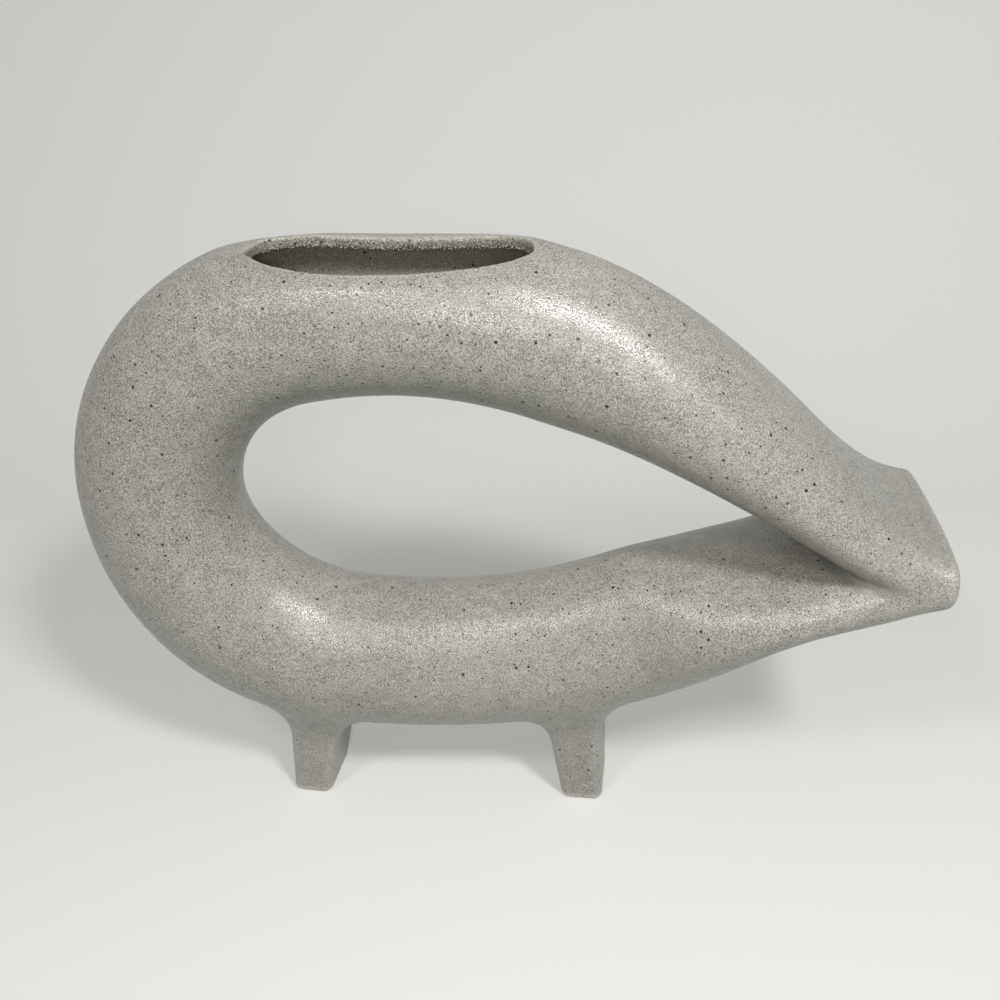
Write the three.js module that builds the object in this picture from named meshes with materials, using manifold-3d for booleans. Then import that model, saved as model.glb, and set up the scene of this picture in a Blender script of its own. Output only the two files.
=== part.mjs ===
// Stoneware loop vase: a hollow clay tube bent round a teardrop hole. Its two arms are pinched together
// into a flat, flared tail, its top is sliced off level for a boat-shaped mouth, and two slab feet stand
// under the lower arm. Millimetres, +Z up, +X towards the tail, Y across the loop. The origin is on the
// table, under the middle of the vase.
import * as THREE from "three";
import { mergeVertices } from "three/addons/utils/BufferGeometryUtils.js";
import Module from "manifold-3d";

const wasm = await Module();
wasm.setup();

// The clay
const wall = 5; // thickness of the tube's wall
const joint = 0.3; // slip joint between two luted pieces

// The loop: a round end, from whose middle all places along the vase are measured, and two arms
const bendRadius = 70; // of the tube's middle line
const bendHeight = 136; // from the table to the middle of the round end
const bendThickness = 59; // of the tube, in the plane of the loop
const bendWidth = 58; // of the tube, across the loop
const tailReach = 210; // to the tail's edge
const tailHeight = 119.5; // from the table to the middle of the tail's edge
const tailThickness = 17;
const tailWidth = 78;
const tailCorner = 9; // rounding of the tail's two corners, seen from above
const layerStep = 3; // one arm is pressed on the other there, with their middles this far apart

// Each arm: the angle where it leaves the round end, its rise where it arrives at the tail, how far it runs
// on at each of the two, its thickness once clear of the bend, its swelling in the bend, the width that it
// would reach without its flare, and how far it ends short of the tail's edge. pinch and flare say from
// which share of its length the tube is flattened and spread, and how late most of that happens.
const upperArm = {
  side: 1,
  leaves: 100,
  rise: -1.5,
  runOut: 120,
  runIn: 38,
  thickness: 56,
  swell: 0,
  width: 52,
  short: 0,
  pinch: { from: 0.61, power: 1.24 },
  flare: { from: 0.75, power: 2.6 },
};
const lowerArm = {
  side: -1,
  leaves: 256.5,
  rise: 8,
  runOut: 102.5,
  runIn: 38.5,
  thickness: 61,
  swell: 2.4,
  width: 57,
  short: 3,
  pinch: { from: 0.55, power: 2.1 },
  flare: { from: 0.67, power: 2.7 },
};
const settled = 0.4; // share of an arm's length over which the bend's thickness passes into its own
const tailLength = 33; // the part of the tail that is solid and luted on as one piece
const plug = 8; // solid clay that closes each arm's hollow before the tail

// The mouth
const mouthOffset = 23.3;
const mouthShift = -1.5; // it lies this far off the middle, towards the front
const mouthLength = 91;
const mouthWidth = 34;
const mouthPower = 0.84; // how sharply the boat shape runs to its two ends
const mouthBevel = 1.2; // on the lip's inner edge
const topSlice = 6.9; // how far below the loop's crown its top is sliced off level
const rimDepth = 5; // height of the ring that carries the lip

// The feet
const feet = { left_foot: { offset: -28, splay: -8 }, right_foot: { offset: 84.5, splay: 4.5 } };
const footThickness = 16; // along the vase, at the table
const footDepth = 30; // across the vase, at the table
const footTaper = 0.035; // a foot widens by this much each way for each millimetre of height
const footCorner = 3;
const footEase = 1; // rounding at the table
const footFillet = 8; // where it spreads into the arm
const footRoot = 8; // how far it is carried up before the arm is cut away from it

// Fineness
const tubeSides = 32;
const tubeRings = 34; // along each arm
const boatSides = 56;
const cornerSteps = 4;
const mergeBelow = 0.02; // slivers and steps finer than this are merged away
const far = 500;

const { degToRad, lerp, smoothstep } = THREE.MathUtils;

// A closed geometry as a solid with its faces pointing out, and back again
function solidOf(geometry) {
  const bare = new THREE.BufferGeometry();
  bare.setAttribute("position", geometry.getAttribute("position"));
  bare.setIndex(geometry.index);
  const merged = mergeVertices(bare, 1e-4);
  const triVerts = new Uint32Array(merged.index.array);
  const vertProperties = merged.attributes.position.array;
  const solid = new wasm.Manifold(new wasm.Mesh({ numProp: 3, vertProperties, triVerts }));
  if (solid.volume() > 0) return solid;
  for (let i = 0; i < triVerts.length; i += 3) {
    [triVerts[i], triVerts[i + 1]] = [triVerts[i + 1], triVerts[i]];
  }
  return new wasm.Manifold(new wasm.Mesh({ numProp: 3, vertProperties, triVerts }));
}

function geometryOf(solid) {
  const mesh = solid.getMesh();
  const geometry = new THREE.BufferGeometry();
  geometry.setAttribute("position", new THREE.BufferAttribute(mesh.vertProperties, 3));
  geometry.setIndex(new THREE.BufferAttribute(mesh.triVerts, 1));
  geometry.computeVertexNormals();
  return geometry;
}

// A solid skinned over a row of rings with equal numbers of points, closed at both ends
function skin(rings) {
  const count = rings[0].length;
  const points = rings.flat();
  const faces = [];
  for (let i = 0; i + 1 < rings.length; i++) {
    for (let j = 0; j < count; j++) {
      const k = (j + 1) % count;
      const near = i * count;
      const next = near + count;
      faces.push(near + j, near + k, next + k, near + j, next + k, next + j);
    }
  }
  for (const [ring, start] of [[rings[0], 0], [rings.at(-1), (rings.length - 1) * count]]) {
    const middle = ring.reduce((sum, point) => sum.add(point), new THREE.Vector3()).divideScalar(count);
    points.push(middle);
    for (let j = 0; j < count; j++) {
      const edge = [start + j, start + ((j + 1) % count)];
      faces.push(...(start === 0 ? edge.reverse() : edge), points.length - 1);
    }
  }
  const geometry = new THREE.BufferGeometry().setFromPoints(points);
  geometry.setIndex(faces);
  return solidOf(geometry);
}

// Half the thickness of each of the two layers that make the tail's edge
const halfLayer = (tailThickness - layerStep) / 2;

// An arm's middle line in the XZ plane, from the far left of the loop to where the tail's rounding starts
function middleLine(arm) {
  const leaves = degToRad(arm.leaves);
  const rise = degToRad(arm.rise);
  const ahead = new THREE.Vector2(Math.sin(leaves), -Math.cos(leaves)).multiplyScalar(arm.side);
  const first = new THREE.Vector2(Math.cos(leaves), Math.sin(leaves)).multiplyScalar(bendRadius);
  first.y += bendHeight;
  const last = new THREE.Vector2(tailReach - arm.short - halfLayer, tailHeight + (arm.side * layerStep) / 2);
  const out = first.clone().addScaledVector(ahead, arm.runOut);
  const back = last.clone().sub(new THREE.Vector2(Math.cos(rise), Math.sin(rise)).multiplyScalar(arm.runIn));
  return new THREE.Path()
    .absarc(0, bendHeight, bendRadius, Math.PI, leaves, arm.side > 0)
    .bezierCurveTo(out.x, out.y, back.x, back.y, last.x, last.y);
}

// Half the tube's thickness and half its width at a share of the arm's length
function halfSizes(arm, share) {
  const swell = arm.swell * Math.sin(Math.PI * Math.min(share / settled, 1)) ** 2;
  const thickness = lerp(bendThickness, arm.thickness, smoothstep(share, 0, settled)) + swell;
  const width = lerp(bendWidth, arm.width, share);
  const late = ({ from, power }) => (Math.max(share - from, 0) / (1 - from)) ** power;
  return [lerp(thickness / 2, halfLayer, late(arm.pinch)), lerp(width / 2, tailWidth / 2, late(arm.flare))];
}

// One ring of the tube: an oval where it is round, a slab with round edges where it is pinched flat
function ring(centre, along, halfThick, halfWide) {
  const slab = smoothstep(halfWide / halfThick, 1, 1.6);
  return Array.from({ length: tubeSides }, (unused, j) => {
    const turn = (2 * Math.PI * (j + 0.5)) / tubeSides;
    const up = halfThick * Math.cos(turn);
    const oval = halfWide * Math.sin(turn);
    const edge = (halfWide - halfThick) * Math.sign(oval) + halfThick * Math.sin(turn);
    return new THREE.Vector3(centre.x - along.y * up, lerp(oval, edge, slab), centre.y + along.x * up);
  });
}

// One arm as a solid, grown or shrunk all round by offset; only the outside has the tail's rounded end
function armSolid(arm, offset) {
  const line = middleLine(arm);
  const rings = [];
  for (let i = 0; i <= tubeRings; i++) {
    const share = i / tubeRings;
    const [halfThick, halfWide] = halfSizes(arm, share);
    if (halfThick + offset < wall / 2) break;
    // Both arms start exactly level at the far left, so that no skin is left between them
    const along = i === 0 ? new THREE.Vector2(0, arm.side) : line.getTangent(share);
    rings.push(ring(line.getPoint(share), along, halfThick + offset, halfWide + offset));
  }
  if (offset < 0) return skin(rings);
  const end = line.getPoint(1);
  const along = line.getTangent(1);
  const [endThick, endWide] = halfSizes(arm, 1);
  for (const degrees of [25, 50, 75]) {
    const turn = degToRad(degrees);
    const place = end.clone().addScaledVector(along, (endThick + offset) * Math.sin(turn));
    const halfWide = endWide + offset - tailCorner * (1 - Math.cos(turn));
    rings.push(ring(place, along, (endThick + offset) * Math.cos(turn), halfWide));
  }
  return skin(rings);
}

function tube(offset) {
  return armSolid(upperArm, offset).add(armSolid(lowerArm, offset));
}

// Height of an arm's top or underside over a place; side is 1 for the top and -1 for the underside
function armSurface(arm, side, x, y) {
  const line = middleLine(arm);
  const steps = tubeRings * 10;
  const shares = Array.from({ length: steps + 1 }, (unused, i) => i / steps);
  const gap = (share) => Math.abs(line.getPoint(share).x - x);
  const share = shares.reduce((best, next) => (gap(next) < gap(best) ? next : best));
  const [halfThick, halfWide] = halfSizes(arm, share);
  const reach = halfThick * Math.sqrt(Math.max(1 - (y / halfWide) ** 2, 0));
  return line.getPoint(share).y + (side * reach) / line.getTangent(share).x;
}

// The boat shape seen from above, at a height
function boat(length, width, height) {
  return Array.from({ length: boatSides }, (unused, j) => {
    const turn = (2 * Math.PI * (j + 0.5)) / boatSides;
    const side = Math.sign(Math.sin(turn)) * Math.abs(Math.sin(turn)) ** mouthPower;
    const x = mouthOffset + (length / 2) * Math.cos(turn);
    return new THREE.Vector3(x, mouthShift + (width / 2) * side, height);
  });
}

function block(low, high) {
  const size = high.clone().sub(low);
  const geometry = new THREE.BoxGeometry(size.x, size.y, size.z);
  geometry.translate(...low.clone().add(high).divideScalar(2));
  return solidOf(geometry);
}

// A foot: a leaning slab with rounded corners that spreads where it meets the arm's curved underside
function footSlab({ offset, splay }) {
  const corners = [];
  for (const [sx, sy, from] of [[1, 1, 0], [-1, 1, 90], [-1, -1, 180], [1, -1, 270]]) {
    for (let k = 0; k <= cornerSteps; k++) {
      corners.push({ sx, sy, turn: degToRad(from + (90 * k) / cornerSteps) });
    }
  }
  const place = ({ sx, sy, turn }, height, spread) => {
    const halfX = footThickness / 2 + footTaper * height + spread - footCorner;
    const halfY = footDepth / 2 + footTaper * height + spread - footCorner;
    const middle = offset - Math.tan(degToRad(splay)) * height;
    const cornerX = middle + sx * halfX + footCorner * Math.cos(turn);
    return new THREE.Vector3(cornerX, sy * halfY + footCorner * Math.sin(turn), height);
  };
  const under = armSurface(lowerArm, -1, offset, 0);
  const level = (below, spread) =>
    corners.map((each) => {
      const { x, y } = place(each, under, spread);
      return place(each, armSurface(lowerArm, -1, x, y) - below, spread);
    });
  const turns = [0, 25, 50, 70].map(degToRad);
  const spreads = turns.map((turn) => footFillet * (1 - Math.cos(turn)));
  return skin([
    corners.map((each) => place(each, 0, -footEase)),
    corners.map((each) => place(each, footEase, 0)),
    ...turns.map((turn, i) => level(footFillet * (1 - Math.sin(turn)), spreads[i])),
    level(-footRoot, spreads.at(-1)),
  ]);
}

const outer = tube(0);
const rimHeight = bendHeight + bendRadius + bendThickness / 2 - topSlice;
const rimSeat = rimHeight - rimDepth;
const tailStart = tailReach - tailLength;
const corner = (x, y, z) => new THREE.Vector3(x, y, z);

const hollow = tube(-wall).subtract(block(corner(tailStart - plug, -far, -far), corner(far, far, far)));
const opening = skin([
  boat(mouthLength, mouthWidth, bendHeight + bendRadius),
  boat(mouthLength, mouthWidth, rimHeight - mouthBevel),
  boat(mouthLength + 4 * mouthBevel, mouthWidth + 4 * mouthBevel, rimHeight + mouthBevel),
]);
const above = block(corner(-far, -far, rimHeight), corner(far, far, far));
const body = outer.subtract(above).subtract(hollow).subtract(opening);
const front = block(corner(-far, -far, -far), corner(tailStart, -joint / 2, rimSeat - joint));
const back = block(corner(-far, joint / 2, -far), corner(tailStart, far, rimSeat - joint));
const spread = tube(joint);

const pieces = {
  front_shell: body.intersect(front),
  back_shell: body.intersect(back),
  tail: outer.intersect(block(corner(tailStart + joint, -far, -far), corner(far, far, far))),
  mouth_rim: body.intersect(block(corner(-far, -far, rimSeat), corner(far, far, far))),
  left_foot: footSlab(feet.left_foot).subtract(spread),
  right_foot: footSlab(feet.right_foot).subtract(spread),
};

const vase = new THREE.Group();
for (const [name, solid] of Object.entries(pieces)) {
  const stoneware = new THREE.MeshStandardMaterial({ color: 0xb9b5a6, roughness: 0.62, metalness: 0 });
  const mesh = new THREE.Mesh(geometryOf(solid.simplify(mergeBelow)), stoneware);
  mesh.name = name;
  vase.add(mesh);
}

// The origin goes under the middle of the whole vase
const bounds = new THREE.Box3().setFromObject(vase);
vase.position.x = -(bounds.min.x + bounds.max.x) / 2;

export default vase;
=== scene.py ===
import math

import bpy
import numpy as np
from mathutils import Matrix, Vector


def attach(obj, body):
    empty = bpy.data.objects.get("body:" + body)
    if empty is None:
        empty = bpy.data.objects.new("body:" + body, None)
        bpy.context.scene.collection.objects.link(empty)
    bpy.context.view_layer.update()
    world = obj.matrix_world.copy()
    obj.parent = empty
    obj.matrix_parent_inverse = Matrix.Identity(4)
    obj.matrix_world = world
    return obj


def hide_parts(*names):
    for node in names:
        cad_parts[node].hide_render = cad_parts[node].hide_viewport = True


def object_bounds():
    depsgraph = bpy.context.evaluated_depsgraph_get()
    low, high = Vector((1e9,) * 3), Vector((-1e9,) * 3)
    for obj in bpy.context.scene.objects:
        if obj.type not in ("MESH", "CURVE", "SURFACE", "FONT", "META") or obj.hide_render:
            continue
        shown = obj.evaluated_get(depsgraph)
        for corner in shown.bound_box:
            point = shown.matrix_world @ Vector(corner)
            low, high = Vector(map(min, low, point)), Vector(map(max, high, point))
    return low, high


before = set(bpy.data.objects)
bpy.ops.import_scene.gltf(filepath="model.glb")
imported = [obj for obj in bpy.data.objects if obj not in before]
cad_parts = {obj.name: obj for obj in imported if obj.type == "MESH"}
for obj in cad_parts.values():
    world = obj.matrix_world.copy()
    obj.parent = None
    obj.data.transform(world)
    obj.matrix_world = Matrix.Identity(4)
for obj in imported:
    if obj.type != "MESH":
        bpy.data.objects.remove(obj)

import openvdb
from mathutils import Matrix, Vector

cadLow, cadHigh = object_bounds()
mm = 0.001  # the clay is worked out in millimetres, Blender and the frame are in metres


def linearColour(hexValue):
    channels = [int(hexValue[i : i + 2], 16) / 255 for i in (1, 3, 5)]
    return tuple(c / 12.92 if c <= 0.04045 else ((c + 0.055) / 1.055) ** 2.4 for c in channels) + (1.0,)


def addNode(tree, kind, inputs=None, **settings):
    node = tree.nodes.new(kind)
    for name, value in settings.items():
        setattr(node, name, value)
    for name, value in (inputs or {}).items():
        socket = node.inputs[name]
        if isinstance(value, bpy.types.NodeSocket):
            tree.links.new(value, socket)
        else:
            socket.default_value = value
    return node


def perMetre(size):
    return 1 / (size * mm)  # a texture's scale for a pattern of this size in millimetres


# The loop of clay
# Lengths along the vase count from the middle of its round end, heights from the table.
loop = {
    "bendRadius": 70.0,
    "bendHeight": 136.0,
    "bendThickness": 59.0,
    "bendWidth": 58.0,
    "tailReach": 209.4,
    "tailHeight": 121.7,
    "tailThickness": 16.7,
    "tailWidth": 75.0,
    "layerStep": 3.0,  # the two arms are pressed on each other there, this far apart
    "settled": 0.375,  # share of an arm over which the bend's thickness passes into its own
    "easedIn": 0.15,  # how gently an arm's flattening starts
    "joined": 4.0,  # how softly the two arms run together
    "joins": (20.0, 100.0),  # that softness comes in between these places along the vase
    "oval": (1.9, 4.6),  # width against thickness up to where the section is an oval, and from where a slab
    "endCorner": 3.0,
    "endBow": 1.4,  # the end's middle stands this far out beyond its corners
    "wall": 5.0,
    "wallTop": 3.4,  # the wall is thinner towards the mouth
    "wallThins": (206.0, 218.0),  # between these heights
    "solidTail": 41.0,  # length of the tail that has no hollow
    "hollowEnd": 3.0,  # softness of the hollow's end there
    "hollowTop": 1.2,  # and under the lip
}

upperArm = {
    "side": 1,
    "leaves": 100.3,  # angle round the bend where the arm leaves it
    "rise": 15.2,  # angle at which it arrives at the tail
    "runOut": 126.6,  # how far it keeps its direction from the bend
    "runIn": 40.2,  # and towards the tail
    "thickness": 57.1,
    "swell": 0.0,  # so much thicker on its way out of the bend
    "width": 57.8,
    "pinch": (0.547, 0.92),  # the share from which it is flattened, and how early most of that comes
}
lowerArm = {
    "side": -1,
    "leaves": 264.4,
    "rise": 13.0,
    "runOut": 107.6,
    "runIn": 86.6,
    "thickness": 60.5,
    "swell": 4.8,
    "width": 50.2,
    "pinch": (0.663, 1.9),
}


def smooth(value, low, high):
    t = np.clip((value - low) / (high - low), 0, 1)
    return t * t * (3 - 2 * t)


def softMin(a, b, soft):
    h = np.maximum(soft - np.abs(a - b), 0) / soft
    return np.minimum(a, b) - h * h * soft / 4


def softMax(a, b, soft):
    return -softMin(-a, -b, soft)


def roundMax(a, b, radius):
    corner = np.hypot(np.maximum(a + radius, 0), np.maximum(b + radius, 0))
    return corner + np.minimum(np.maximum(a, b) + radius, 0) - radius


halfLayer = (loop["tailThickness"] - loop["layerStep"]) / 2
linePoints = {"bend": 200, "arm": 900, "even": 480}  # how finely a middle line is drawn


def middleLine(arm):
    # Round the bend on an arc, then on one long curve to the tail, in equal steps
    leaves, rise = math.radians(arm["leaves"]), math.radians(arm["rise"])
    turn = np.linspace(math.pi, leaves, linePoints["bend"])
    centre = np.array([0, loop["bendHeight"]])
    arc = centre + loop["bendRadius"] * np.stack([np.cos(turn), np.sin(turn)], 1)
    ahead = arm["side"] * np.array([math.sin(leaves), -math.cos(leaves)])
    last = np.array([loop["tailReach"], loop["tailHeight"] + arm["side"] * loop["layerStep"] / 2])
    out = arc[-1] + ahead * arm["runOut"]
    back = last - arm["runIn"] * np.array([math.cos(rise), math.sin(rise)])
    t = np.linspace(0, 1, linePoints["arm"])[1:, None]
    bend = (1 - t) ** 3 * arc[-1] + 3 * t * (1 - t) ** 2 * out + 3 * t**2 * (1 - t) * back + t**3 * last
    line = np.concatenate([arc, bend])
    length = np.concatenate([[0], np.cumsum(np.hypot(*np.diff(line, axis=0).T))])
    steps = np.linspace(0, length[-1], linePoints["even"])
    return np.stack([np.interp(steps, length, side) for side in line.T], 1), length[-1]


def halfSizes(arm, share):
    swell = arm["swell"] * np.sin(math.pi * np.minimum(share / loop["settled"], 1)) ** 2
    own = smooth(share, 0, loop["settled"])
    thickness = (loop["bendThickness"] * (1 - own) + arm["thickness"] * own + swell) / 2
    width = (loop["bendWidth"] * (1 - share) + arm["width"] * share) / 2
    start, early = arm["pinch"]
    pinch = np.maximum(share - start, 0) / (1 - start)
    pinch = 1 - (1 - pinch**2 * (1 + loop["easedIn"]) / (pinch + loop["easedIn"])) ** early
    halfThick = thickness * (1 - pinch) + halfLayer * pinch
    girth = np.sqrt(thickness**2 + width**2 - halfThick**2)  # pinched clay keeps its girth, so it spreads
    return halfThick, girth * (1 - pinch) + loop["tailWidth"] / 2 * pinch


# The distance to each arm's middle line and the tube's half sizes there, on a fine sheet in the plane of the
# loop, all in millimetres
sheet = {"step": 0.6, "x": (-106.0, 218.0), "z": (-8.0, 236.0)}
sheetX = np.arange(*sheet["x"], sheet["step"])
sheetZ = np.arange(*sheet["z"], sheet["step"])


def armSheet(arm):
    line, length = middleLine(arm)
    spacing = length / (len(line) - 1)
    ahead = np.gradient(line, axis=0)
    ahead /= np.linalg.norm(ahead, axis=1)[:, None]
    away = np.zeros((len(sheetX), len(sheetZ)))
    share = np.zeros_like(away)
    for i, x in enumerate(sheetX):
        gapX, gapZ = x - line[None, :, 0], sheetZ[:, None] - line[None, :, 1]
        near = np.argmin(gapX**2 + gapZ**2, axis=1)
        row = np.arange(len(sheetZ))
        dx, dz = gapX[0, near], gapZ[row, near]
        along = np.clip(dx * ahead[near, 0] + dz * ahead[near, 1], -spacing / 2, spacing / 2)
        atEnd = (near == 0) & (along < 0) | (near == len(line) - 1) & (along > 0)
        along = np.where(atEnd, 0, along)
        away[i] = np.hypot(dx - along * ahead[near, 0], dz - along * ahead[near, 1])
        share[i] = (near * spacing + along) / length
    return (away, *halfSizes(arm, share))


armSheets = [armSheet(upperArm), armSheet(lowerArm)]
print("arms laid out")


def readSheet(sheets, u, v, alongU, alongV):
    # What each sheet holds at u, v, between its four nearest points
    i = np.clip((u - alongU[0]) / (alongU[1] - alongU[0]), 0, len(alongU) - 1.001)
    j = np.clip((v - alongV[0]) / (alongV[1] - alongV[0]), 0, len(alongV) - 1.001)
    i0, j0 = i.astype(int), j.astype(int)
    fi, fj = i - i0, j - j0
    for s in sheets:
        left = s[i0, j0] * (1 - fj) + s[i0, j0 + 1] * fj
        right = s[i0 + 1, j0] * (1 - fj) + s[i0 + 1, j0 + 1] * fj
        yield left * (1 - fi) + right * fi


def armTube(sheets, x, y, z):
    # An oval tube, turning into a slab with round edges where it is pinched flat
    away, halfThick, halfWide = readSheet(sheets, x, z, sheetX, sheetZ)
    side = np.maximum(np.abs(y) - np.maximum(halfWide - halfThick, 0), 0)
    slab = np.hypot(side, away) - halfThick
    r = np.hypot(away / halfThick, y / halfWide)
    steep = np.hypot(away / halfThick**2, y / halfWide**2) + 1e-9  # never quite 0, as it is divided by
    oval = (r - 1) * r / steep
    flat = smooth(halfWide / halfThick, *loop["oval"])
    return oval * (1 - flat) + slab * flat


def tube(x, y, z):
    soft = loop["joined"] * smooth(x, *loop["joins"]) + 1e-6  # never quite 0, as it is divided by
    both = softMin(armTube(armSheets[0], x, y, z), armTube(armSheets[1], x, y, z), soft)
    end = x - loop["tailReach"] + loop["endBow"] * (2 * y / loop["tailWidth"]) ** 2
    return roundMax(both, end, loop["endCorner"])


# The mouth: the loop's top is cut nearly level and a boat shape is cut down through it
mouth = {
    "height": 226.9,  # of the top where it sags most
    "sags": 33.0,  # it does so here along the vase
    "rise": 2.1,  # and stands this much higher
    "riseAt": 40.0,  # this far from there, at the back
    "frontRise": 0.3,  # the front has this share of it
    "rises": (-12.0, 6.0),  # and the change comes between these places across the vase
    "most": 228.5,
    "levels": 0.4,  # softness with which the top meets that height
    "offset": 22.8,
    "shift": -1.7,  # the boat lies this far off the middle, towards the front
    "length": 93.4,
    "width": 33.6,
    "blunt": (10.0, 5.0),  # how squarely its back turns in at the left and the right end
    "point": (2.8, 0.85),  # how its front runs to the left end
    "narrows": (0.5, 0.1, 1.4),  # its front's width lost at the right end, from where, and how late
    "points": 900,
    "depth": 3.0,  # of the cut, in lips
    "lip": 4.1,  # thickness of the wall where it is cut
    "pressed": (5.0, 1.0),  # softness of the top's outer edge, at the front and at the back
    "presses": (-14.0, 2.0),  # the change from one to the other comes between these places
    "eased": 1.2,  # of the cut's upper edge
    "crisp": 0.6,  # of its lower edge
}

# The feet: slabs that lean outwards and are turned a little, none quite like the other
feet = {
    "left": {"offset": -27.6, "splay": -9.5, "turn": -6.0},
    "right": {"offset": 84.9, "splay": 3.8, "turn": -4.0},
}
foot = {
    "thickness": 16.6,
    "depth": 24.4,
    "shift": -2.7,  # of its middle towards the front, at the table
    "leansBack": 0.072,  # and how it comes back as it rises
    "taper": 0.055,  # a side moves out by this for each millimetre up, seen from the front
    "deepens": 0.128,  # and seen from the end
    "corner": 3.8,
    "eased": 3.0,  # softness of the edge it stands on
    "spread": 12.0,  # and of the join with the arm
}


def boatBack(t):
    left, right = mouth["blunt"]
    full = np.sqrt(np.maximum(1 - np.abs(t) ** np.where(t < 0, left, right), 0))
    return mouth["offset"] + t * mouth["length"] / 2, full


def boatSheet():
    # The distance to the boat's outline seen from above, below 0 inside it
    t = np.sin(np.linspace(-math.pi / 2, math.pi / 2, mouth["points"]))
    power, fall = mouth["point"]
    lost, begins, late = mouth["narrows"]
    x, full = boatBack(t)
    narrow = full * (1 - lost * np.maximum((t - begins) / (1 - begins), 0) ** late)
    narrow = np.where(t < 0, np.maximum(1 - np.abs(t) ** power, 0) ** fall, narrow)
    back = mouth["shift"] + full * mouth["width"] / 2
    front = mouth["shift"] - narrow * mouth["width"] / 2
    outline = np.stack([np.concatenate([x, x]), np.concatenate([back, front])], 1)
    away = np.empty((len(boatX), len(boatY)))
    for i, place in enumerate(boatX):
        gaps = np.hypot(place - outline[None, :, 0], boatY[:, None] - outline[None, :, 1]).min(1)
        inside = (boatY < np.interp(place, x, back)) & (boatY > np.interp(place, x, front))
        inside &= x[0] < place < x[-1]
        away[i] = np.where(inside, -gaps, gaps)
    return away


boatSpan = {"step": 0.5, "x": (-50.0, 96.0), "y": (-42.0, 42.0)}
boatX = np.arange(*boatSpan["x"], boatSpan["step"])
boatY = np.arange(*boatSpan["y"], boatSpan["step"])
boat = boatSheet()


def topOf(x, y):
    # The height at which the loop's top is cut
    share = mouth["frontRise"] + (1 - mouth["frontRise"]) * smooth(y, *mouth["rises"])
    rise = mouth["rise"] * ((x - mouth["sags"]) / mouth["riseAt"]) ** 2 * share
    return softMin(mouth["height"] + rise, mouth["most"], mouth["levels"])


def footSlab(each, x, y, z):
    # It ends in the middle of the lower arm
    turn = math.radians(each["turn"])
    dx = x - each["offset"] + math.tan(math.radians(each["splay"])) * z
    dy = y - foot["shift"] - foot["leansBack"] * z
    outX = np.abs(dx * math.cos(turn) + dy * math.sin(turn)) - foot["thickness"] / 2 - foot["taper"] * z
    outY = np.abs(dy * math.cos(turn) - dx * math.sin(turn)) - foot["depth"] / 2 - foot["deepens"] * z
    slab = softMax(roundMax(outX, outY, foot["corner"]), -z, foot["eased"])
    return softMax(slab, z - (loop["bendHeight"] - loop["bendRadius"]), foot["spread"])


def outside(x, y, z):
    # The vase as if it were solid: below 0 in the clay and above 0 out of it, as everywhere here
    front, back = mouth["pressed"]
    soft = front + (back - front) * smooth(y, *mouth["presses"])
    d = softMax(tube(x, y, z), z - topOf(x, y), soft)
    for each in feet.values():
        d = softMin(d, footSlab(each, x, y, z), foot["spread"])
    return d


def clay(x, y, z):
    wall = loop["wall"] + (loop["wallTop"] - loop["wall"]) * smooth(z, *loop["wallThins"])
    hollow = softMax(tube(x, y, z) + wall, z - topOf(x, y) + mouth["lip"], loop["hollowTop"])
    hollow = softMax(hollow, x - (loop["tailReach"] - loop["solidTail"]), loop["hollowEnd"])
    (cut,) = readSheet([boat], x, y, boatX, boatY)
    cut = np.maximum(cut, topOf(x, y) - mouth["depth"] * mouth["lip"] - z)
    d = softMax(outside(x, y, z), -cut, mouth["eased"])
    return softMax(d, -hollow, mouth["crisp"])


# The clay's skin: quads on the field, then every point is drawn onto it
skin = {
    "clear": 0.1,  # room left at the round end's side of the frame's box
    "step": 1.15,  # size of a quad
    "low": (-103.0, -42.0, -3.0),
    "high": (213.5, 42.0, 230.0),
    "far": 10.0,  # the distance given beyond that span
    "reach": 0.5,  # the slope is measured this far to each side
    "passes": 2,
    "nudge": 0.6,  # the most that a pass moves a point
    "leastSteep": 0.2,
    "bendReach": 1.3,  # the skin's bend is measured this far to each side
    "inside": (3.9, 4.6),  # depths under the outer skin between which the inner wall begins
    "cut": (0.25, 0.9),  # and the cut
    "most": 195000,  # triangles
}
middleX = cadLow.x / mm + skin["clear"] + loop["bendRadius"] + loop["bendThickness"] / 2


def slope(points):
    reach = skin["reach"]
    sides = []
    for axis in range(3):
        shift = np.zeros(3)
        shift[axis] = reach
        sides.append((clay(*(points + shift).T) - clay(*(points - shift).T)) / (2 * reach))
    return np.stack(sides, 1)


def claySkin():
    axes = [np.arange(a, b, skin["step"]) for a, b in zip(skin["low"], skin["high"])]
    values = np.empty([len(a) for a in axes], np.float32)
    y, z = np.meshgrid(axes[1], axes[2], indexing="ij")
    for i, x in enumerate(axes[0]):
        values[i] = clay(np.full_like(y, x), y, z)
    grid = openvdb.FloatGrid(skin["far"])
    grid.copyFromArray(values)
    points, quads = grid.convertToQuads()
    points = points.astype(float) * skin["step"] + np.array(skin["low"])
    for turn in range(skin["passes"]):
        d = np.clip(clay(*points.T), -skin["nudge"], skin["nudge"])
        g = slope(points)
        points -= d[:, None] * g / np.maximum((g * g).sum(1), skin["leastSteep"])[:, None]
    return points, quads


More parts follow.
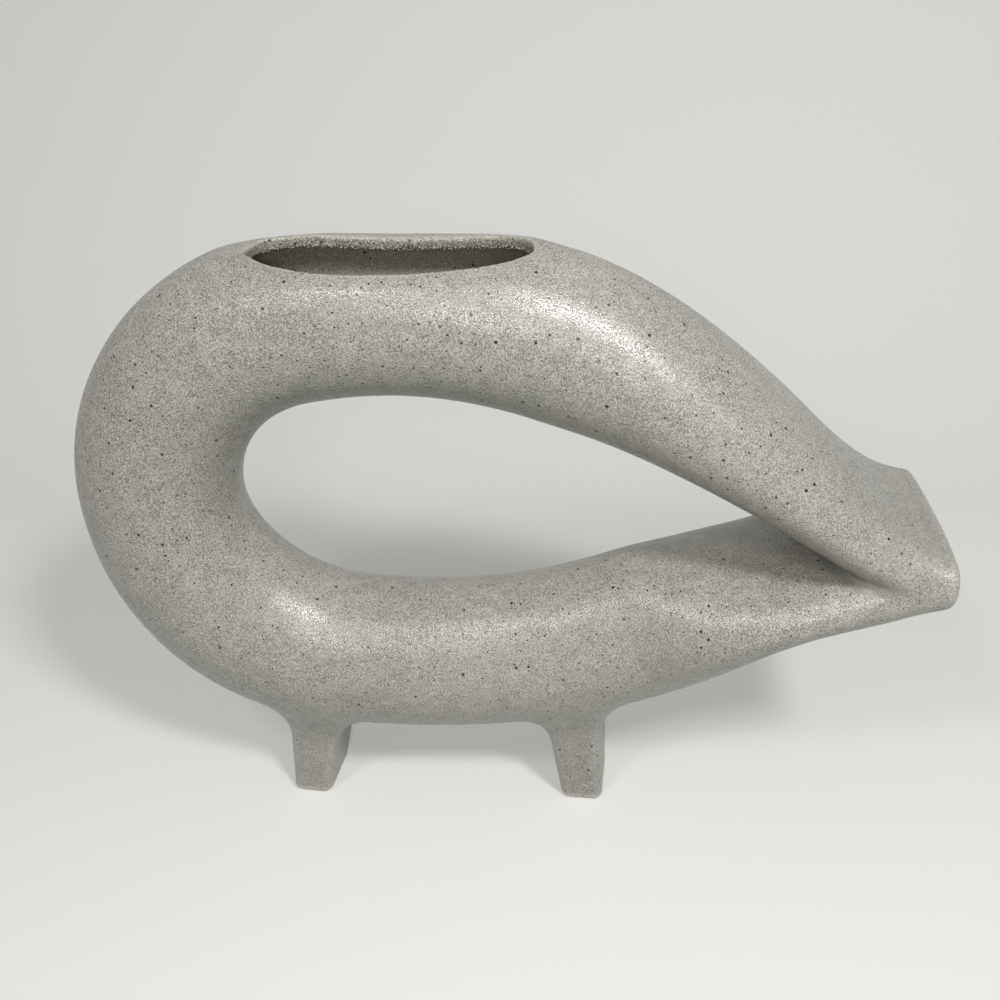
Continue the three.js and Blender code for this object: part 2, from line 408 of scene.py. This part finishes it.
def makeVase():
    points, quads = claySkin()
    x, y, z = points.T
    reach = skin["bendReach"]
    sides = np.vstack([np.eye(3), -np.eye(3)]) * reach
    bend = sum(clay(*(points + side).T) for side in sides)
    bend = (bend - len(sides) * clay(x, y, z)) / reach**2  # above 0 where the clay stands out
    depth = -outside(x, y, z)

    mesh = bpy.data.meshes.new("clay")
    mesh.from_pydata(points.tolist(), [], quads.tolist())
    inside, cut = smooth(depth, *skin["inside"]), smooth(depth, *skin["cut"])
    for name, values in (("edge", bend), ("inside", inside), ("cut", cut)):
        layer = mesh.attributes.new(name, "FLOAT", "POINT")
        layer.data.foreach_set("value", values.astype(np.float32))
    mesh.shade_smooth()
    vase = bpy.data.objects.new("vaseBody", mesh)
    bpy.context.scene.collection.objects.link(vase)
    return vase


# What hands leave on the clay: shallow lumps all over and fine ripples, in millimetres
handWork = {
    "Lump size": 26.0,
    "Lump depth": 0.5,
    "Ripple size": 6.0,
    "Ripple depth": 0.1,
    "Raised": 0.22,  # taken off every push, which keeps the skin about where it was
    "Seed": 4.0,
    "Foot height": 4.0,  # nothing moves below this, so that the feet stand flat
    "Scale": mm,
    "Middle": middleX * mm,
}


def handWorkTree(finish):
    tree = bpy.data.node_groups.new("hand smoothed clay", "GeometryNodeTree")
    tree.interface.new_socket("Geometry", in_out="INPUT", socket_type="NodeSocketGeometry")
    tree.interface.new_socket("Geometry", in_out="OUTPUT", socket_type="NodeSocketGeometry")
    for name in handWork:
        tree.interface.new_socket(name, in_out="INPUT", socket_type="NodeSocketFloat")
    given = addNode(tree, "NodeGroupInput").outputs
    place = addNode(tree, "GeometryNodeInputPosition").outputs[0]
    total = addNode(tree, "ShaderNodeMath", {0: 0.0, 1: given["Raised"]}, operation="SUBTRACT").outputs[0]
    for name in ("Lump", "Ripple"):
        inputs = {0: 1.0, 1: given[name + " size"]}
        scale = addNode(tree, "ShaderNodeMath", inputs, operation="DIVIDE").outputs[0]
        inputs = {"Vector": place, "Scale": scale, "W": given["Seed"], "Detail": 1.0}
        lumps = addNode(tree, "ShaderNodeTexNoise", inputs, noise_dimensions="4D").outputs[0]
        inputs = {0: lumps, 1: given[name + " depth"], 2: total}
        total = addNode(tree, "ShaderNodeMath", inputs, operation="MULTIPLY_ADD").outputs[0]
    inwards = addNode(tree, "ShaderNodeMath", {0: total, 1: -1.0}, operation="MULTIPLY").outputs[0]
    normal = addNode(tree, "GeometryNodeInputNormal").outputs[0]
    inputs = {0: normal, "Scale": inwards}
    push = addNode(tree, "ShaderNodeVectorMath", inputs, operation="SCALE").outputs[0]
    level = addNode(tree, "ShaderNodeSeparateXYZ", {0: place}).outputs["Z"]
    inputs = {0: level, 1: given["Foot height"]}
    free = addNode(tree, "FunctionNodeCompare", inputs, operation="GREATER_THAN").outputs[0]
    inputs = {"Geometry": given["Geometry"], "Offset": push, "Selection": free}
    shaped = addNode(tree, "GeometryNodeSetPosition", inputs)
    size = addNode(tree, "ShaderNodeCombineXYZ", {axis: given["Scale"] for axis in "XYZ"})
    move = addNode(tree, "ShaderNodeCombineXYZ", {"X": given["Middle"]})
    inputs = {"Geometry": shaped.outputs[0], "Scale": size.outputs[0], "Translation": move.outputs[0]}
    placed = addNode(tree, "GeometryNodeTransform", inputs)
    real = addNode(tree, "GeometryNodeRealizeInstances", {"Geometry": placed.outputs[0]})
    glazed = addNode(tree, "GeometryNodeSetMaterial", {"Geometry": real.outputs[0], "Material": finish})
    addNode(tree, "NodeGroupOutput", {"Geometry": glazed.outputs[0]})
    return tree


def finished(thing):
    # The evaluated shape as a plain mesh, with no modifier left on it
    shape = bpy.data.meshes.new_from_object(thing.evaluated_get(bpy.context.evaluated_depsgraph_get()))
    thing.modifiers.clear()
    old, thing.data = thing.data, shape
    shape.name = thing.name
    bpy.data.meshes.remove(old)
    return thing


# The glaze
# Speckled stoneware: a thin satin glaze sprayed on grey clay with iron in it. The eye gets a warm pale grey
# with salt and pepper in it, highlights broken into bright grains, and dark iron specks that bled a little.
glaze = {
    "body": "#A5A196",
    # shade: a darker tone that drifts at random over the glaze, and also painted shade in the skin's hollows
    "shade": "#94928A",
    "pale": "#D8D4C9",
    "dark": "#5C5951",
    "iron": "#2E2820",
    "rust": "#8A5246",
    # cut: the cut face's own browner clay, darkened further as painted shade on the back lip's band
    "cut": "#7F786A",
    "inside": "#AEA490",
    "bare": "#E6DAD1",
    # Sizes in mm. The grain is drawn as coarse as it shows from here: any finer would blur to one grey
    "grain": 0.5,
    "crumb": 1.1,
    "mottle": 5.0,
    "drift": 55.0,
    "bareFoot": 3.4,  # the glaze is wiped off the feet up to here
    "bareFades": 1.4,
    "ragged": 2.0,  # how far that edge runs up and down
    "relief": 0.09,
    "crumbRelief": 0.8,  # a crumb's relief against a grain's
    "roughness": (0.16, 0.42),  # on the pale grains and between them
    "glossy": (0.4, 0.62),  # how pale a grain is at the roughest and at the smoothest
    "gloss": 0.75,  # reflects a little more than plain glass
    "bled": (0.7, 0.6),  # size of the wobble in a speck's outline, and how far it reaches
    "speckEdge": (0.75, 1.1),  # a speck fades between these shares of its radius
    # Iron specks: size of a cell, radius of the speck in it, share of the cells without one
    "specks": ((1.9, 0.2, 0.3), (3.0, 0.38, 0.3), (6.0, 0.6, 0.3)),
    # One reddish burn on the upper arm: its place, its half sizes
    "rustMark": ((69.0, -28.8, 196.3), (2.0, 9.0, 0.7)),
}


def speckledGlaze():
    material = bpy.data.materials.new("speckledStonewareGlaze")
    material.use_nodes = True
    tree = material.node_tree
    shader = tree.nodes["Principled BSDF"]
    place = addNode(tree, "ShaderNodeTexCoord").outputs["Object"]
    height = addNode(tree, "ShaderNodeSeparateXYZ", {0: place}).outputs["Z"]
    noises = {}
    kinds = (("grain", 2.0, 0.6), ("crumb", 2.0, 0.6), ("mottle", 2.0, 0.5), ("drift", 1.0, 0.5))
    for name, detail, rough in kinds:
        inputs = {"Vector": place, "Scale": perMetre(glaze[name]), "Detail": detail, "Roughness": rough}
        noises[name] = addNode(tree, "ShaderNodeTexNoise", inputs).outputs["Fac"]
    for name in ("edge", "inside", "cut"):
        noises[name] = addNode(tree, "ShaderNodeAttribute", attribute_name=name).outputs["Fac"]
    inputs = {0: noises["mottle"], 1: glaze["ragged"] * mm, 2: height}
    noises["foot"] = addNode(tree, "ShaderNodeMath", inputs, operation="MULTIPLY_ADD").outputs[0]
    (x, y, z), sizes = glaze["rustMark"]
    inputs = {0: place, 1: ((x + middleX) * mm, y * mm, z * mm)}
    apart = addNode(tree, "ShaderNodeVectorMath", inputs, operation="SUBTRACT").outputs[0]
    inputs = {0: apart, 1: tuple(perMetre(size) for size in sizes)}
    apart = addNode(tree, "ShaderNodeVectorMath", inputs, operation="MULTIPLY").outputs[0]
    noises["rust"] = addNode(tree, "ShaderNodeVectorMath", {0: apart}, operation="LENGTH").outputs["Value"]

    # Each layer lies over the ones before it: where it comes from, its colour, two values of the first
    # and how far the layer covers the others at each
    bare, bareEnds = glaze["bareFoot"] * mm, (glaze["bareFoot"] + glaze["bareFades"]) * mm
    layers = (
        ("drift", "shade", 0.35, 0.65, 0.0, 1.0),
        ("mottle", "pale", 0.4, 0.7, 0.0, 0.3),
        ("crumb", "pale", 0.5, 0.68, 0.0, 0.3),
        ("edge", "pale", 0.12, 0.34, 0.0, 0.4),
        # the cut face: its own browner tone, with painted shade on the back lip's band
        ("cut", "cut", 0.0, 1.0, 0.0, 0.8),
        ("grain", "pale", 0.5, 0.62, 0.0, 0.8),
        ("grain", "dark", 0.48, 0.34, 0.0, 0.7),
        # painted shade: darker where the skin is hollow, in creases and in the valley between the arms
        ("edge", "shade", 0.0, -0.1, 0.0, 0.6),
        ("inside", "inside", 0.0, 1.0, 0.0, 1.0),
        ("foot", "bare", bare, bareEnds, 0.85, 0.0),
        ("rust", "rust", 0.2, 1.0, 0.6, 0.0),
    )
    colour = linearColour(glaze["body"])
    for source, top, low, high, start, end in layers:
        inputs = {"Value": noises[source], "From Min": low, "From Max": high}
        inputs |= {"To Min": start, "To Max": end}
        cover = addNode(tree, "ShaderNodeMapRange", inputs).outputs[0]
        inputs = {0: cover, 6: colour, 7: linearColour(glaze[top])}
        colour = addNode(tree, "ShaderNodeMix", inputs, data_type="RGBA").outputs[2]

    size, far = glaze["bled"]
    inputs = {"Vector": place, "Scale": perMetre(size)}
    wobble = addNode(tree, "ShaderNodeTexNoise", inputs).outputs["Color"]
    inputs = {0: wobble, 1: (far * mm, far * mm, far * mm), 2: place}
    bled = addNode(tree, "ShaderNodeVectorMath", inputs, operation="MULTIPLY_ADD").outputs[0]
    inner, outer = glaze["speckEdge"]
    for cell, radius, without in glaze["specks"]:
        cells = addNode(tree, "ShaderNodeTexVoronoi", {"Vector": bled, "Scale": perMetre(cell)})
        chance = addNode(tree, "ShaderNodeSeparateColor", {0: cells.outputs["Color"]}).outputs[0]
        some = addNode(tree, "ShaderNodeMath", {0: chance, 1: without}, operation="GREATER_THAN").outputs[0]
        inputs = {"Value": cells.outputs["Distance"], "To Min": some, "To Max": 0.0}
        inputs |= {"From Min": inner * radius / cell, "From Max": outer * radius / cell}
        cover = addNode(tree, "ShaderNodeMapRange", inputs).outputs[0]
        inputs = {0: cover, 6: colour, 7: linearColour(glaze["iron"])}
        colour = addNode(tree, "ShaderNodeMix", inputs, data_type="RGBA").outputs[2]
    tree.links.new(colour, shader.inputs["Base Color"])
    shader.inputs["Specular IOR Level"].default_value = glaze["gloss"]

    smoothest, roughest = glaze["roughness"]
    low, high = glaze["glossy"]
    inputs = {"Value": noises["grain"], "From Min": low, "From Max": high}
    inputs |= {"To Min": roughest, "To Max": smoothest}
    tree.links.new(addNode(tree, "ShaderNodeMapRange", inputs).outputs[0], shader.inputs["Roughness"])
    inputs = {0: noises["crumb"], 1: glaze["crumbRelief"], 2: noises["grain"]}
    both = addNode(tree, "ShaderNodeMath", inputs, operation="MULTIPLY_ADD")
    inputs = {"Height": both.outputs[0], "Strength": 1.0, "Distance": glaze["relief"] * mm}
    tree.links.new(addNode(tree, "ShaderNodeBump", inputs).outputs["Normal"], shader.inputs["Normal"])
    return material


def runTree(thing, tree, values):
    # The inputs are set by their sockets' identifiers before the shape is first worked out
    modifier = thing.modifiers.new(tree.name, "NODES")
    modifier.node_group = tree
    for socket in tree.interface.items_tree:
        if socket.name in values:
            modifier[socket.identifier] = values[socket.name]


# The clay body, hand work and all, as one plain mesh with its glaze on
finish = speckledGlaze()
vase = makeVase()
runTree(vase, handWorkTree(finish), handWork)
thin = vase.modifiers.new("fewer faces", "DECIMATE")
thin.ratio = skin["most"] / (2 * len(vase.data.polygons))
vase = finished(vase)
vase.data.shade_smooth()
triangles = sum(len(p.vertices) - 2 for p in vase.data.polygons)
print("vase", len(vase.data.vertices), "points", triangles, "triangles")

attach(vase, "root")
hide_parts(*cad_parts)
print("vase glazed")


# Crumbs of clay along the cut's lower back edge, where the knife dragged and nobody sponged
crumbs = {
    "Count": 130,
    "Smallest": 0.1,
    "Largest": 0.5,
    "Stray": 0.4,
    "Seed": 7,
    "Scale": mm,
    "Middle": middleX * mm,
}
cutEdge = {
    "span": (-0.94, 0.97),  # the part of the boat's length that has crumbs, from -1 to 1
    "points": 120,
    "down": 0.9,  # how deep the crumbs lie under the top, in lips
}


def crumbTree(finish):
    tree = bpy.data.node_groups.new("crumbs along an edge", "GeometryNodeTree")
    tree.interface.new_socket("Geometry", in_out="INPUT", socket_type="NodeSocketGeometry")
    tree.interface.new_socket("Geometry", in_out="OUTPUT", socket_type="NodeSocketGeometry")
    for name, value in crumbs.items():
        kind = "NodeSocketInt" if isinstance(value, int) else "NodeSocketFloat"
        tree.interface.new_socket(name, in_out="INPUT", socket_type=kind)
    given = addNode(tree, "NodeGroupInput").outputs
    line = addNode(tree, "GeometryNodeMeshToCurve", {"Mesh": given["Geometry"]}).outputs[0]
    even = addNode(tree, "GeometryNodeResampleCurve", {"Curve": line, "Count": given["Count"]}).outputs[0]
    less = addNode(tree, "ShaderNodeMath", {0: 0.0, 1: given["Stray"]}, operation="SUBTRACT").outputs[0]
    inputs = {"Min": less, "Max": given["Stray"], "Seed": given["Seed"]}
    stray = addNode(tree, "FunctionNodeRandomValue", inputs, data_type="FLOAT_VECTOR").outputs[0]
    spread = addNode(tree, "GeometryNodeSetPosition", {"Geometry": even, "Offset": stray}).outputs[0]
    ball = addNode(tree, "GeometryNodeMeshIcoSphere", {"Radius": 1.0, "Subdivisions": 2}).outputs[0]
    inputs = {"Min": given["Smallest"], "Max": given["Largest"], "Seed": given["Seed"]}
    size = addNode(tree, "FunctionNodeRandomValue", inputs, data_type="FLOAT_VECTOR").outputs[0]
    inputs = {"Points": spread, "Instance": ball, "Scale": size}
    dotted = addNode(tree, "GeometryNodeInstanceOnPoints", inputs).outputs[0]
    scale = addNode(tree, "ShaderNodeCombineXYZ", {axis: given["Scale"] for axis in "XYZ"})
    move = addNode(tree, "ShaderNodeCombineXYZ", {"X": given["Middle"]})
    inputs = {"Geometry": dotted, "Scale": scale.outputs[0], "Translation": move.outputs[0]}
    placed = addNode(tree, "GeometryNodeTransform", inputs).outputs[0]
    real = addNode(tree, "GeometryNodeRealizeInstances", {"Geometry": placed}).outputs[0]
    glazed = addNode(tree, "GeometryNodeSetMaterial", {"Geometry": real, "Material": finish}).outputs[0]
    addNode(tree, "NodeGroupOutput", {"Geometry": glazed})
    return tree


def makeCutEdge():
    x, full = boatBack(np.linspace(*cutEdge["span"], cutEdge["points"]))
    y = mouth["shift"] + full * mouth["width"] / 2
    z = topOf(x, y) - cutEdge["down"] * mouth["lip"]
    mesh = bpy.data.meshes.new("cut edge")
    mesh.from_pydata(np.stack([x, y, z], 1).tolist(), [(i, i + 1) for i in range(len(x) - 1)], [])
    line = bpy.data.objects.new("cutCrumbs", mesh)
    bpy.context.scene.collection.objects.link(line)
    return line


edge = makeCutEdge()
runTree(edge, crumbTree(finish), crumbs)
edge = finished(edge)
edge.data.shade_smooth()
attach(edge, "root")
print("crumbs", len(edge.data.polygons), "triangles")


# The studio
studio = {
    "floor": "#DEDEDA",
    "bounce": "#8E928F",  # what the floor throws back on the vase
    "lift": 0.32,  # how much the floor shines where it is seen, which lights nothing
    "world": 0.2,
    "matt": 0.8,
    # The floor turns up behind the vase
    "sweep": {"starts": 0.22, "radius": 0.3, "height": 1.6, "reach": 4.0, "steps": 24},
    "aim": 0.12,  # height that the lamps point at
    # Lamps: place, power in watts, size in metres
    "lamps": {
        "key": ((0.38, -0.52, 0.86), 4.7, 0.14),
        "second": ((-0.24, -0.5, 0.8), 1.3, 0.13),
        "front": ((0.03, -0.55, 0.42), 0.8, 0.1),
    },
}


def makeStudio():
    sweep = studio["sweep"]
    turn = np.linspace(0, math.pi / 2, sweep["steps"])
    y = sweep["starts"] + sweep["radius"] * np.sin(turn)
    z = sweep["radius"] * (1 - np.cos(turn))
    profile = [(-sweep["reach"], 0), *zip(y, z), (y[-1], sweep["height"])]
    points = [(side * sweep["reach"], float(py), float(pz)) for py, pz in profile for side in (-1, 1)]
    faces = [(2 * i, 2 * i + 1, 2 * i + 3, 2 * i + 2) for i in range(len(profile) - 1)]
    mesh = bpy.data.meshes.new("sweep")
    mesh.from_pydata(points, [], faces)
    mesh.shade_smooth()
    floor = bpy.data.objects.new("floor", mesh)
    bpy.context.scene.collection.objects.link(floor)
    paint = bpy.data.materials.new("paleMattPaint")
    paint.use_nodes = True
    tree = paint.node_tree
    shader = tree.nodes["Principled BSDF"]
    shader.inputs["Roughness"].default_value = studio["matt"]
    ray = addNode(tree, "ShaderNodeLightPath").outputs
    seen = ray["Is Camera Ray"]
    for name in ("Is Glossy Ray", "Is Transmission Ray"):
        seen = addNode(tree, "ShaderNodeMath", {0: seen, 1: ray[name]}, operation="MAXIMUM").outputs[0]
    pale = linearColour(studio["floor"])
    inputs = {0: seen, 6: linearColour(studio["bounce"]), 7: pale}
    colour = addNode(tree, "ShaderNodeMix", inputs, data_type="RGBA").outputs[2]
    tree.links.new(colour, shader.inputs["Base Color"])
    shader.inputs["Emission Color"].default_value = pale
    lift = addNode(tree, "ShaderNodeMath", {0: seen, 1: studio["lift"]}, operation="MULTIPLY").outputs[0]
    tree.links.new(lift, shader.inputs["Emission Strength"])
    floor.data.materials.append(paint)
    for name, (spot, power, size) in studio["lamps"].items():
        light = bpy.data.lights.new(name, "AREA")
        light.energy = power
        light.size = size
        lamp = bpy.data.objects.new(name, light)
        lamp.location = spot
        ahead = Vector((0, 0, studio["aim"])) - Vector(spot)
        lamp.rotation_euler = ahead.to_track_quat("-Z", "Y").to_euler()
        bpy.context.scene.collection.objects.link(lamp)
    world = bpy.data.worlds.new("studio")
    world.use_nodes = True
    world.node_tree.nodes["Background"].inputs["Color"].default_value = (1, 1, 1, 1)
    world.node_tree.nodes["Background"].inputs["Strength"].default_value = studio["world"]
    bpy.context.scene.world = world


# The photograph's view: how far from the vase's middle the camera stands and how high, in mm, how it is
# turned, in degrees, and its lens
view = {
    "away": 336.15,
    "height": 334.18,
    "azimuth": 5.906,
    "down": 30.70,
    "roll": -2.81,
    "lens": 38.88,
    "sensor": 36,
    "nearest": 0.01,  # metres
}


def makeCamera():
    azimuth, down, roll = (math.radians(view[k]) for k in ("azimuth", "down", "roll"))
    level = math.cos(down)
    ahead = Vector((-math.sin(azimuth) * level, math.cos(azimuth) * level, -math.sin(down)))
    right = Vector((math.cos(azimuth), math.sin(azimuth), 0))
    up = right.cross(ahead)
    tilted = right * math.cos(roll) + up * math.sin(roll)
    upright = up * math.cos(roll) - right * math.sin(roll)
    data = bpy.data.cameras.new("camera")
    data.sensor_width = view["sensor"]
    data.lens = view["lens"]
    data.clip_start = view["nearest"]
    camera = bpy.data.objects.new("camera", data)
    turned = Matrix((tilted, upright, -ahead)).transposed().to_4x4()
    away = view["away"]
    spot = Vector((away * math.sin(azimuth), -away * math.cos(azimuth), view["height"])) * mm
    camera.matrix_world = Matrix.Translation(spot) @ turned
    bpy.context.scene.collection.objects.link(camera)
    bpy.context.scene.camera = camera


makeStudio()
makeCamera()
bpy.context.scene.view_settings.view_transform = "Standard"
print("studio and camera set")
